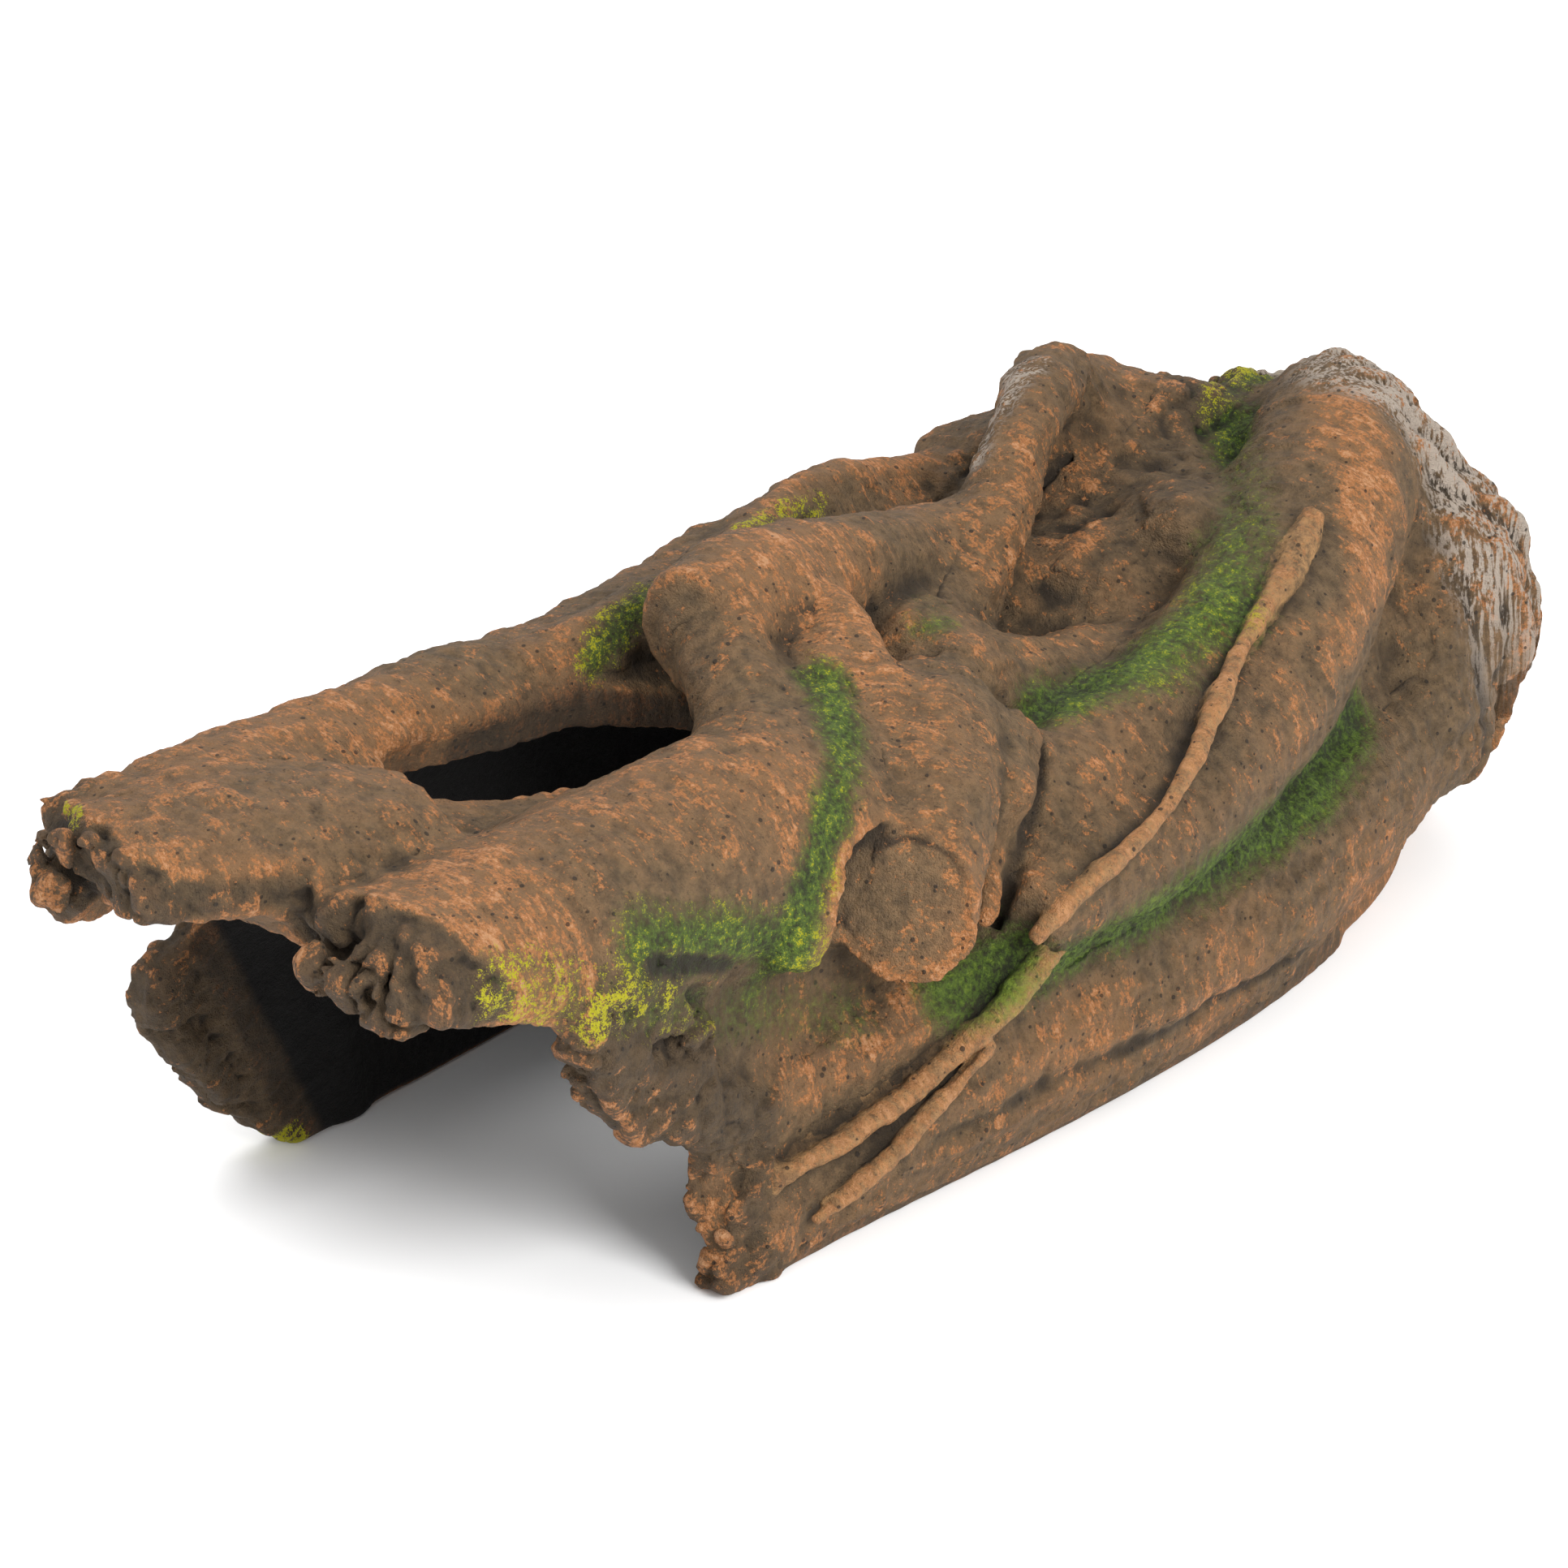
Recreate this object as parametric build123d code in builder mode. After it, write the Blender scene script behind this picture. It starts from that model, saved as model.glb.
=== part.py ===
from build123d import *

import os

# Resin cave ornament: a hollow log, open underneath and at its mouth, with a skylight in the
# roof and cast limbs, roots and vines seated on it. Millimetres, +Z up. The log runs along Y
# from its mouth (-Y) to its stump (+Y), and +X is the side with the sawn branch.

WALL = 7.0         # side wall of the cast shell
ROOF = 9.0         # roof of the cast shell
FLOOR_CUT = -6.0   # cutters start this far under the resting face
SKY = 150.0        # above every piece, for cutters that pass right through
ASIDE = 80.0       # out past both side walls, for the same

# Sections of the log: place along Y, near and far half widths, then the heights of the near
# shoulder, the crown and the far shoulder.
LOG_SECTIONS = (
    (-176, 59, 64, 90, 104, 100),
    (-120, 59, 64, 90, 102, 98),
    (-60, 57, 65, 84, 98, 96),
    (0, 60, 66, 74, 90, 94),
    (60, 62, 67, 72, 84, 92),
    (115, 60, 66, 76, 84, 90),
    (155, 47, 61, 76, 86, 84),
    (188, 20, 46, 52, 62, 58),
)
HOLLOW_SECTIONS = ((-240, 59, 64, 90, 104, 100), *LOG_SECTIONS[:-1], (170, 38, 56, 68, 78, 74))

MOUTH_EDGE = ((-103, 0), (-107, 30), (-112, 50), (-134, 64), (-152, 90), (-190, 96))
SKYLIGHT = ((-37, -116), (-27, -58), (-12, -33), (6, -44), (8, -76), (-4, -106), (-22, -122))


def log_profile(near, far, near_shoulder, crown, far_shoulder, floor):
    """The closed outline across the log: up the near wall, over the crown, down the far wall."""
    middle = (near - far) / 2
    reach = 0.8 * (near + far) / 2
    with BuildLine() as outline:
        over = Spline(
            (near, floor),
            (near, near_shoulder / 2),
            (middle + reach, near_shoulder),
            (middle, crown),
            (middle - reach, far_shoulder),
            (-far, far_shoulder / 2),
            (-far, floor),
            tangents=((0, 1), (0, -1)),
        )
        Line(over @ 1, over @ 0)
    return outline.line


def log_body(sections, side, top, floor):
    """The log lofted through its sections, drawn in by the side and top thicknesses."""
    with BuildPart() as body:
        for place, near, far, near_shoulder, crown, far_shoulder in sections:
            outline = log_profile(
                near - side, far - side, near_shoulder - top, crown - top, far_shoulder - top, floor
            )
            with BuildSketch(Plane(origin=(0, place, 0), x_dir=(1, 0, 0), z_dir=(0, -1, 0))):
                make_face(outline)
        loft()
    return body.part


def across(line, place):
    """The plane square to a line, with its X axis level wherever the line isn't upright."""
    along = line % place
    level = Vector(0, 0, 1).cross(along)
    if level.length < 0.15:
        level = Vector(0, 1, 0)
    return Plane(origin=line @ place, x_dir=level, z_dir=along)


def limb(route, girths):
    """A limb with oval sections, each (half width, half height), spread evenly on its route."""
    with BuildLine() as spine:
        Spline(*route)
    with BuildPart() as piece:
        for index, (half_width, half_height) in enumerate(girths):
            with BuildSketch(across(spine.line, index / (len(girths) - 1))):
                Ellipse(half_width, half_height)
        loft()
    return piece.part


def root(route, *radii):
    """A limb with round sections."""
    return limb(route, [(radius, radius) for radius in radii])


def chunk(outline, inner, outer):
    """A rough block with a side outline in Y and Z, from one place across X to another."""
    with BuildPart() as block:
        with BuildSketch(Plane(origin=(inner, 0, 0), x_dir=(0, 1, 0), z_dir=(1, 0, 0))):
            with BuildLine():
                Polyline(*outline, close=True)
            make_face()
        extrude(amount=outer - inner)
    return block.part


def slab(outline, low, high):
    """A block with an outline in X and Y, from one height to another."""
    with BuildPart() as block:
        with BuildSketch(Plane.XY.offset(low)):
            with BuildLine():
                Polyline(*outline, close=True)
            make_face()
        extrude(amount=high - low)
    return block.part


def near_each_other(one, other):
    """Whether two shapes' boxes overlap, so that one may have to be cut back to the other."""
    first = one.bounding_box()
    second = other.bounding_box()
    return all(
        low < top and bottom < high
        for low, high, bottom, top in zip(first.min, first.max, second.min, second.max)
    )


def cut_back(shape, cutters):
    """The shape above the resting face, less its cutters, with loose scraps left out."""
    with BuildPart() as cut:
        add(shape)
        split(bisect_by=Plane.XY, keep=Keep.TOP)
        add([cutter for cutter in cutters if near_each_other(shape, cutter)], mode=Mode.SUBTRACT)
    with BuildPart() as main:
        add(cut.part.solids().sort_by(SortBy.VOLUME)[-1])
    return main.part


solid_log = log_body(LOG_SECTIONS, 0, 0, 0)
hollow = log_body(HOLLOW_SECTIONS, WALL, ROOF, FLOOR_CUT)

with BuildPart() as log_shell:
    add(solid_log)
    add(hollow, mode=Mode.SUBTRACT)
    in_front = (*MOUTH_EDGE, (MOUTH_EDGE[-1][0], FLOOR_CUT), (MOUTH_EDGE[0][0], FLOOR_CUT))
    add(chunk(in_front, -ASIDE, ASIDE), mode=Mode.SUBTRACT)
    add(slab(SKYLIGHT, 60, SKY), mode=Mode.SUBTRACT)

pieces = {"log_shell": log_shell.part}
seated = []


def seat(name, shape, base=(solid_log, hollow)):
    """Adds a piece, cut back to the log under it and to every piece seated before it."""
    pieces[name] = cut_back(shape, [*base, *seated])
    seated.append(shape)


# Roof: two limbs with the skylight between them, and the tongue that joins them in front.
seat(
    "far_roof_limb",
    limb(
        ((-45, -194, 99), (-46, -150, 99), (-46, -95, 95), (-45, -48, 90), (-43, -14, 86)),
        ((15, 13), (19, 19), (18, 18), (17, 18), (14, 16)),
    ),
)
seat(
    "near_roof_limb",
    limb(
        ((30, -182, 102), (33, -150, 97), (36, -110, 94), (39, -74, 93), (38, -48, 89)),
        ((22, 13), (26, 19), (27, 23), (26, 25), (20, 20)),
    ),
)
seat(
    "roof_tongue",
    limb(
        ((-30, -201, 109), (-24, -180, 110), (-14, -155, 109), (-4, -132, 106)),
        ((18, 8), (25, 11), (24, 11), (15, 8)),
    ),
)
seat(
    "far_lip_chunk",
    slab(((-65, -192), (-53, -200), (-40, -197), (-38, -180), (-60, -176)), 95, 113),
    (log_shell.part, hollow),
)
seat(
    "near_lip_chunk",
    limb(
        ((12, -182, 101), (30, -180, 98), (46, -170, 94), (56, -158, 90)),
        ((6, 6), (8, 8), (7, 8), (5, 6)),
    ),
)

# Knee over the back of the skylight, with the limbs that run on from it.
seat(
    "knee_limb",
    root(
        ((-4, -46, 119), (-6, -28, 117), (-9, 0, 112), (-13, 35, 104), (-18, 72, 94)),
        13, 16, 14, 12, 10,
    ),
)
seat(
    "knee_post",
    root(((2, -40, 114), (14, -50, 111), (26, -58, 104), (36, -66, 94)), 11, 11, 12, 13),
)
seat(
    "far_shoulder_limb",
    root(
        ((-45, -40, 92), (-48, 0, 92), (-49, 40, 92), (-47, 80, 86), (-42, 110, 78)),
        12, 15, 15, 13, 9,
    ),
)
seat(
    "mossy_back_root",
    root(((-36, -62, 104), (-33, -40, 107), (-33, -10, 105), (-36, 25, 103)), 5, 7, 7, 4),
)
seat(
    "thin_back_root",
    root(((-40, 10, 106), (-46, 30, 107), (-50, 60, 105), (-50, 86, 98)), 3, 4, 4, 3),
)

# Near shoulder: the branch with the saw cut, and the two roots around it.
seat(
    "sawn_branch",
    limb(
        ((28, -2, 92), (44, -22, 96), (58, -41, 89), (74, -62, 76)),
        ((12, 11), (17, 16), (16, 16), (13, 13)),
    ),
)
seat(
    "saddle_root",
    root(((10, -22, 106), (22, -34, 105), (34, -44, 101), (46, -56, 94)), 8, 9, 9, 7),
)
seat(
    "small_root",
    root(((8, -14, 118), (20, -18, 115), (32, -26, 110), (44, -38, 102)), 4.5, 5, 5, 4),
)
seat(
    "groove_root",
    root(((42, -50, 106), (54, -66, 98), (62, -80, 88), (64, -88, 78)), 4, 4, 4, 3),
)

# Limbs that sweep down from the stump towards the sawn branch.
seat(
    "stump_limb",
    root(
        ((6, 176, 94), (30, 142, 96), (48, 102, 78), (58, 62, 66), (64, 18, 62), (66, -16, 60)),
        17, 20, 19, 17, 15, 11,
    ),
)
seat(
    "near_root",
    root(
        ((16, 134, 94), (32, 108, 90), (44, 76, 84), (50, 40, 80), (54, 4, 76), (56, -24, 70)),
        8, 12, 13, 13, 12, 9,
    ),
)
seat(
    "valley_limb",
    root(((20, -2, 88), (24, 26, 84), (26, 60, 78), (16, 96, 76)), 13, 14, 11, 8),
)

# The arched root stands clear of the roof, from its foot to the back crest.
seat(
    "back_crest",
    limb(
        ((-42, 84, 90), (-42, 112, 92), (-42, 146, 88), (-38, 174, 70)),
        ((14, 12), (17, 15), (18, 17), (14, 13)),
    ),
)
seat(
    "arch_root",
    root(
        ((8, 26, 84), (-2, 52, 101), (-12, 76, 113), (-22, 96, 120), (-33, 119, 115), (-42, 146, 100)),
        8.5, 8.5, 8.5, 8.5, 9, 9,
    ),
)
seat(
    "stump_crest",
    limb(((-14, 150, 90), (-16, 172, 88), (-18, 194, 76)), ((13, 12), (14, 14), (11, 11))),
)
seat(
    "back_flake",
    slab(((-58, 96), (-48, 94), (-44, 106), (-52, 114), (-58, 108)), 84, 102),
)
seat(
    "valley_stub",
    root(((-8, 126, 80), (4, 116, 90), (12, 108, 96)), 9, 9, 8),
)

# Foot of the near side: the thick root along the ground and the plinth under it.
seat(
    "base_root",
    limb(
        (
            (50, 158, 37),
            (59, 122, 34),
            (63, 80, 29),
            (63, 30, 25),
            (60, -20, 22),
            (56, -62, 18),
            (54, -92, 13),
        ),
        ((10, 12), (13, 19), (15, 21), (15, 21), (14, 20), (12, 16), (8, 10)),
    ),
)
seat(
    "upper_base_root",
    root(((52, -92, 38), (56, -60, 43), (60, -20, 47), (62, 14, 48)), 5, 7, 8, 5),
)
seat(
    "base_rim",
    limb(
        ((54, -96, 3), (56, -40, 3), (61, 20, 3), (62, 70, 3), (54, 116, 3)),
        ((4, 6), (6, 8), (6, 8), (6, 8), (4, 6)),
    ),
)
seat(
    "near_leg",
    chunk(((-93, 0), (-106, 0), (-110, 26), (-117, 50), (-104, 58), (-93, 44)), 50, 60),
    (log_shell.part,),
)
seat(
    "near_wall_chunk",
    chunk(
        ((-114, 48), (-130, 46), (-143, 60), (-151, 80), (-147, 96), (-126, 92), (-112, 70)),
        48,
        62,
    ),
    (log_shell.part,),
)
seat(
    "far_wall_chunk",
    chunk(
        ((-98, 0), (-119, 0), (-139, 17), (-160, 47), (-158, 58), (-142, 70), (-116, 74)),
        -67,
        -57,
    ),
    (log_shell.part,),
)

# Bark of the stump end.
seat(
    "stump_flare",
    limb(
        ((14, 162, 100), (34, 172, 82), (48, 182, 58)),
        ((15, 12), (20, 15), (18, 11)),
    ),
)
seat(
    "stump_buttress",
    root(((2, 178, 82), (18, 184, 58), (26, 177, 32), (20, 166, 4)), 14, 17, 17, 16),
)

# Roots of the far side.
seat(
    "far_base_root",
    limb(
        ((-64, -80, 8), (-67, -20, 14), (-68, 50, 18), (-66, 110, 22), (-58, 160, 26)),
        ((6, 9), (9, 14), (9, 16), (9, 15), (8, 10)),
    ),
)
seat(
    "far_climbing_root",
    root(((-52, 120, 86), (-64, 96, 64), (-68, 60, 46), (-69, 30, 36)), 7, 8, 8, 6),
)
seat(
    "far_front_root",
    root(((-56, -96, 92), (-65, -76, 66), (-67, -50, 40), (-68, -28, 24)), 7, 8, 7, 6),
)

# Thin vines of the near side.
seat(
    "long_vine",
    root(
        ((46, 116, 107), (53, 92, 97), (61, 66, 90), (70, 44, 82), (78, 12, 74), (74, -21, 59)),
        3.4, 3.2, 3, 3, 2.8, 2.6,
    ),
)
seat(
    "fork_vine",
    root(
        ((75, -10, 57), (72, -26, 46), (69, -42, 37), (66, -64, 30), (60, -92, 24)),
        3.6, 3.4, 3.2, 3, 2.6,
    ),
)
seat(
    "fork_vine_branch",
    root(((71, -32, 38), (71, -48, 29), (69, -66, 20), (65, -85, 12)), 3, 3, 2.8, 2.6),
)

# The frame's origin is the middle of the whole ornament, on its resting face.
boxes = [part.bounding_box() for part in pieces.values()]
middle_x = (min(box.min.X for box in boxes) + max(box.max.X for box in boxes)) / 2
middle_y = (min(box.min.Y for box in boxes) + max(box.max.Y for box in boxes)) / 2

os.makedirs("parts", exist_ok=True)
for name, part in pieces.items():
    piece = part.moved(Location((-middle_x, -middle_y, 0)))
    piece.label = name
    export_step(piece, f"parts/{name}.step")
print("origin moved by", middle_x, middle_y)
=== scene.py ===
import math

import bpy
import numpy as np
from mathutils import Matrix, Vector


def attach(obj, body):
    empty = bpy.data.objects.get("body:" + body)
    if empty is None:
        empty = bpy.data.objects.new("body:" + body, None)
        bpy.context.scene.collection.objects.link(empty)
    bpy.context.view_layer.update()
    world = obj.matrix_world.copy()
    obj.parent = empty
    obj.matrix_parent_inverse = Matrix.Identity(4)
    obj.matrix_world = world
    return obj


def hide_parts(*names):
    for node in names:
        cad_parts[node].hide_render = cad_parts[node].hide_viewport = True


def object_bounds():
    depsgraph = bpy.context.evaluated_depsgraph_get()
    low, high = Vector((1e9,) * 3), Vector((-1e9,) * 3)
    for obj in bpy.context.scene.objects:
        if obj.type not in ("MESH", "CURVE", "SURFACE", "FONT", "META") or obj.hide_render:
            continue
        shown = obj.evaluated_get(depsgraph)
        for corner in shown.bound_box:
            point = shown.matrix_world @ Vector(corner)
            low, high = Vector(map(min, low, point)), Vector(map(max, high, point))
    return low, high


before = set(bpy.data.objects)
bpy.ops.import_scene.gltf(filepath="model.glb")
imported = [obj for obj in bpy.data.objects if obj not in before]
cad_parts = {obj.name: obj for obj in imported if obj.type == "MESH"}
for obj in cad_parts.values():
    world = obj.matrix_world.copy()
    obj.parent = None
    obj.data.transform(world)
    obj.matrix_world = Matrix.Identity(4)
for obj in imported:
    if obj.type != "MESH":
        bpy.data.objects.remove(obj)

import openvdb
from mathutils import Vector

# Resin cave ornament. The CAD solids are melted into one distance field, carved and roughened
# there, and cut apart again into one closed piece for each node. Lengths are in millimetres
# until a mesh is made.
CAD_BOX = [list(corner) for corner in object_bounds()]

MM = 0.001
VOXEL = 0.9
BAND = 11.0        # distances are kept to this far from a surface
TUCK = 0.7         # how far each piece runs on under its neighbour
SINK = 0.35        # how deep it dives there
SLIM = 0.7         # taken off the vines before their paint puts it back

CHUNKS = (
    "near_leg", "near_wall_chunk", "far_wall_chunk", "far_lip_chunk", "near_lip_chunk", "back_flake",
)
VINES = ("long_vine", "fork_vine", "fork_vine_branch")
ROUGH_ROOTS = ("back_crest", "stump_crest")
VALLEY_NODES = ("log_shell", "back_crest", "valley_stub", "stump_crest")
LONG_GRAINED = (
    "base_root", "upper_base_root", "arch_root", "sawn_branch", "valley_limb", "far_base_root",
)
PALE_BARKED = ("stump_flare", "stump_buttress", "arch_root", "stump_crest")
MOSSY_ROOTS = ("mossy_back_root", "groove_root")

# How softly a piece runs into its neighbours, in millimetres.
VINE_MELT = 1.5
CHUNK_MELT = 5.0
ROOT_MELT = 9.0

# Heights of the relief: bark folds on roots and on vines, strips of the stump's bark, pits, long
# grain, moss tufts, how deep the sawn face lies, and its ring.
FOLD_HEIGHT = 0.5
VINE_FOLD_HEIGHT = 0.12
STRIP_HEIGHT = 1.7
PIT_HEIGHT = 0.25
GRAIN_HEIGHT = 0.7
TUFT_HEIGHT = 0.6
SAWN_DEPTH = 0.5
RING_GROOVE = 0.9

# Sizes of the features in the three layers of noise.
BROAD = 26
MIDDLING = 9
FINE = 4

# The broken front edge of the roof: places across it, and how far forward sound wood reaches.
EDGE_ACROSS = (-66, -40, -24, -13, -6, 1, 22, 37, 46, 53, 60)
EDGE_ALONG = (-182, -190, -195, -191, -182, -170, -172, -170, -167, -163, -158)

# The sawn branch: a point on the cut, its outward direction and how far round it the saw reaches.
SAW_POINT = (67.1, -56.3, 78.4)
SAW_OUTWARD = (0.62, -0.76, 0.2)
SAW_REACH = 23
RING_DEPTH = 1.9   # the groove inside the bark, this far in from the branch's side
RING_WIDTH = 0.7

SKYLIGHT_MIDDLE = (-14, -76)
SKYLIGHT_SIZE = (26, 56)   # half widths across and along
STUMP_MIDDLE = (-5, 120)   # the bark of the stump end runs round this upright line
STUMP_GIRTH = 60           # its distance from there, which turns an angle into a width
BARK_FOLD = 9              # from one deep fold of that bark to the next
BARK_CREASE = 4            # and from one crease

# The stump's bark starts on this slanting line across the log and is full 12 mm further on.
BARK_SLANT = 0.18
BARK_START = 166
BARK_FULL = 178

# The far wall's front edge: where it meets the ground, and how it leans forward.
FAR_EDGE_FOOT = -113
FAR_EDGE_LEAN = 0.47

# The rough floor of the valley round the arched root.
VALLEY_ACROSS = (-44, 16)
VALLEY_ALONG = (70, 170)
VALLEY_BOTTOM = 76

SLOTS = {"log_shell": "cast_shell", "base_rim": "base_rim"}
for slot_nodes, slot_name in (
    (CHUNKS, "broken_edge"),
    (VINES, "vine_resin"),
    (PALE_BARKED, "pale_bark"),
    (MOSSY_ROOTS, "mossy_root"),
):
    SLOTS.update({node: slot_name for node in slot_nodes})


def melt_radius(name):
    """How softly a node runs into what is beside it."""
    if name in VINES:
        return VINE_MELT
    if name in CHUNKS:
        return CHUNK_MELT
    return ROOT_MELT


# ---------------------------------------------------------------- distance fields
MARGIN = 8.0       # the grid's room round the CAD box
grid_start = np.floor((np.array(CAD_BOX[0]) / MM - MARGIN) / VOXEL).astype(int)
grid_end = np.ceil((np.array(CAD_BOX[1]) / MM + MARGIN) / VOXEL).astype(int)
grid_shape = tuple(grid_end - grid_start)


def cad_surface(name):
    """A CAD node's vertices, in millimetres, and triangles."""
    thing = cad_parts[name]
    mesh = thing.data
    mesh.calc_loop_triangles()
    points = np.empty(len(mesh.vertices) * 3, np.float32)
    mesh.vertices.foreach_get("co", points)
    triangles = np.empty(len(mesh.loop_triangles) * 3, np.int32)
    mesh.loop_triangles.foreach_get("vertices", triangles)
    turn = np.array(thing.matrix_world, np.float32)
    points = points.reshape(-1, 3) @ turn[:3, :3].T + turn[:3, 3]
    return points / MM, triangles.reshape(-1, 3)


def node_field(points, triangles):
    """Signed distances around one node, and the block of the grid that they fill."""
    low = np.maximum(np.floor((points.min(0) - BAND) / VOXEL).astype(int), grid_start)
    high = np.minimum(np.ceil((points.max(0) + BAND) / VOXEL).astype(int), grid_end)
    level_set = openvdb.FloatGrid.createLevelSetFromPolygons(
        points.astype(np.float32),
        triangles=triangles.astype(np.uint32),
        transform=openvdb.createLinearTransform(VOXEL),
        halfWidth=BAND / VOXEL,
    )
    values = np.empty(tuple(high - low), np.float32)
    level_set.copyToArray(values, ijk=tuple(int(i) for i in low))
    block = tuple(slice(int(a - s), int(b - s)) for a, b, s in zip(low, high, grid_start))
    return values, block


def melt(first, second, radius):
    """The smooth union of two fields."""
    nearness = np.maximum(radius - np.abs(first - second), 0) / radius
    return np.minimum(first, second) - nearness * nearness * radius / 4


def box_blur(values, reach):
    """The mean over a cube that reaches this many millimetres each way."""
    reach = max(1, round(reach / VOXEL))
    for axis in range(3):
        padded = np.concatenate(
            [
                np.repeat(values.take([0], axis), reach + 1, axis),
                values,
                np.repeat(values.take([-1], axis), reach, axis),
            ],
            axis,
        )
        total = np.cumsum(padded, axis, dtype=np.float64)
        count = values.shape[axis]
        upper = total.take(range(2 * reach + 1, 2 * reach + 1 + count), axis)
        lower = total.take(range(count), axis)
        values = ((upper - lower) / (2 * reach + 1)).astype(np.float32)
    return values


def lattice_noise(size, seed):
    """Smooth noise from -1 to 1 over the whole grid, with features of this size."""
    cells = [int(math.ceil(n * VOXEL / size)) + 3 for n in grid_shape]
    values = np.random.default_rng(seed).uniform(-1, 1, cells).astype(np.float32)
    for axis, count in enumerate(grid_shape):
        place = (np.arange(count) + grid_start[axis]) * VOXEL / size
        place = place - math.floor(grid_start[axis] * VOXEL / size)
        index = place.astype(int)
        part = (place - index).astype(np.float32)
        part = part * part * (3 - 2 * part)
        part = part.reshape([-1 if a == axis else 1 for a in range(3)])
        values = values.take(index, axis) * (1 - part) + values.take(index + 1, axis) * part
    return values


def cracks(size, seed):
    """Thin winding lines over the grid, 1 along their middles."""
    return (1 - np.abs(lattice_noise(size, seed))) ** 4


def grid_axis(axis):
    """The place of every voxel along one axis, shaped to broadcast over the grid."""
    place = (np.arange(grid_shape[axis]) + grid_start[axis]) * VOXEL
    return place.astype(np.float32).reshape([-1 if a == axis else 1 for a in range(3)])


X, Y, Z = grid_axis(0), grid_axis(1), grid_axis(2)


def ramp(values, start, end):
    """0 before start, 1 after end, and smooth between them."""
    part = np.clip((values - start) / (end - start), 0, 1)
    return part * part * (3 - 2 * part)


def stump_bark(x, y):
    """1 on the bark of the stump end, falling to 0 where the limbs leave it."""
    return ramp(y + BARK_SLANT * x, BARK_START, BARK_FULL)


def far_wall_face(y, z, lead=9):
    """1 on the far wall behind its slanting front edge, which this leads by a distance."""
    return ramp(y - FAR_EDGE_FOOT + FAR_EDGE_LEAN * (z - 4) + lead, 0, 4)


def bar(start, end, girths, reach):
    """Distances from a rounded bar that tapers between two girths, and their block of the grid."""
    start = np.array(start, np.float32)
    run = np.array(end, np.float32) - start
    spread = max(girths) + reach
    low = np.minimum(start, start + run) - spread
    high = np.maximum(start, start + run) + spread
    first = np.clip(np.floor(low / VOXEL).astype(int) - grid_start, 0, grid_shape)
    last = np.clip(np.ceil(high / VOXEL).astype(int) - grid_start, 0, grid_shape)
    block = tuple(slice(int(i), int(j)) for i, j in zip(first, last))
    x, y, z = X[block[0]] - start[0], Y[:, block[1]] - start[1], Z[:, :, block[2]] - start[2]
    place = np.clip((x * run[0] + y * run[1] + z * run[2]) / (run @ run), 0, 1)
    away = (x - place * run[0]) ** 2 + (y - place * run[1]) ** 2 + (z - place * run[2]) ** 2
    return np.sqrt(away) - girths[0] - place * (girths[1] - girths[0]), block


# The crack in the near wall under the roof limb.
FISSURE = ((59, -130, 95), (59, -110, 86), (57, -84, 70), (58, -60, 59))

# Swellings that fill out the wood between the pieces: two ends, two girths, softness.
FILLERS = (
    ((12, 170, 100), (42, 180, 74), (13, 11), 12),
    ((42, 180, 74), (48, 183, 50), (11, 10), 12),
    ((48, 183, 56), (38, 176, 30), (9, 9), 10),
    ((40, 160, 60), (44, 165, 34), (14, 13), 14),
    ((46, 150, 46), (42, 166, 42), (10, 9), 12),
    ((-14, 94, 84), (-8, 130, 88), (10, 11), 12),
    ((4, 86, 84), (8, 116, 88), (9, 9), 12),
    ((-28, 112, 90), (-16, 146, 92), (9, 9), 12),
    ((-8, 70, 84), (-2, 90, 86), (8, 9), 10),
    ((-32, 146, 96), (-16, 162, 97), (10, 10), 8),
    ((-34, 108, 100), (-30, 144, 98), (9, 11), 12),
    ((-30, 96, 93), (-4, 108, 93), (2.2, 1.8), 4),
    ((-36, 113, 104), (-12, 127, 95), (2.2, 2.2), 4),
    ((-20, 128, 97), (2, 134, 95), (2.4, 2), 4),
    ((-40, 137, 105), (-10, 145, 96), (2.4, 2), 4),
    ((-16, 74, 92), (-2, 100, 91), (3, 2), 6),
    ((0, 118, 92), (12, 106, 99), (7.5, 7.5), 5),
    ((14, 143, 98), (24, 123, 101), (2.2, 1.8), 4),
    ((10, 25, 96), (22, 15, 97), (7, 8), 9),
    ((8, 14, 100), (-6, 34, 93), (8, 8), 8),
    ((4, -12, 113), (20, -30, 111.5), (7, 7), 6),
    ((27, -38, 106), (50, -60, 99), (6, 6), 8),
    ((50, -60, 99), (57, -82, 82), (6, 5), 8),
    ((-8, -33, 118), (-9, -20, 117), (14, 15), 4),
    ((62, -50, 82), (70, -59, 76.5), (12.5, 12.5), 4),
    ((44, 4, 93), (56, -16, 84), (2.4, 2.4), 3),
    ((56, -16, 84), (63, -26, 66), (2.4, 2), 3),
    ((46, 3, 90), (56, -11, 88), (6, 5), 8),
    ((50, -123, 62), (54, -103, 44), (5, 5), 7),
)
# Folds pressed into it: two ends, girth, softness.
GROOVES = (
    ((49, 9, 92), (59, -5, 83), 1.4, 3),
    ((59, -5, 83), (63, -17, 72), 1.4, 3),
    ((63, -17, 72), (57, -15, 57), 1.6, 3),
    *((start, end, 1.8, 1.5) for start, end in zip(FISSURE[:-1], FISSURE[1:])),
    ((67, -44, 18), (71, -12, 19), 1.5, 5),
    ((71, -12, 19), (73, 40, 16), 1.5, 5),
    ((73, 40, 16), (70, 84, 14), 1.2, 5),
    ((20, 145, 100), (36, 113, 94), 2, 5),
    ((30, -180, 116), (40, -120, 121), 0.2, 2),
    ((44, -150, 114), (50, -100, 116), 0.2, 2),
)

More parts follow.
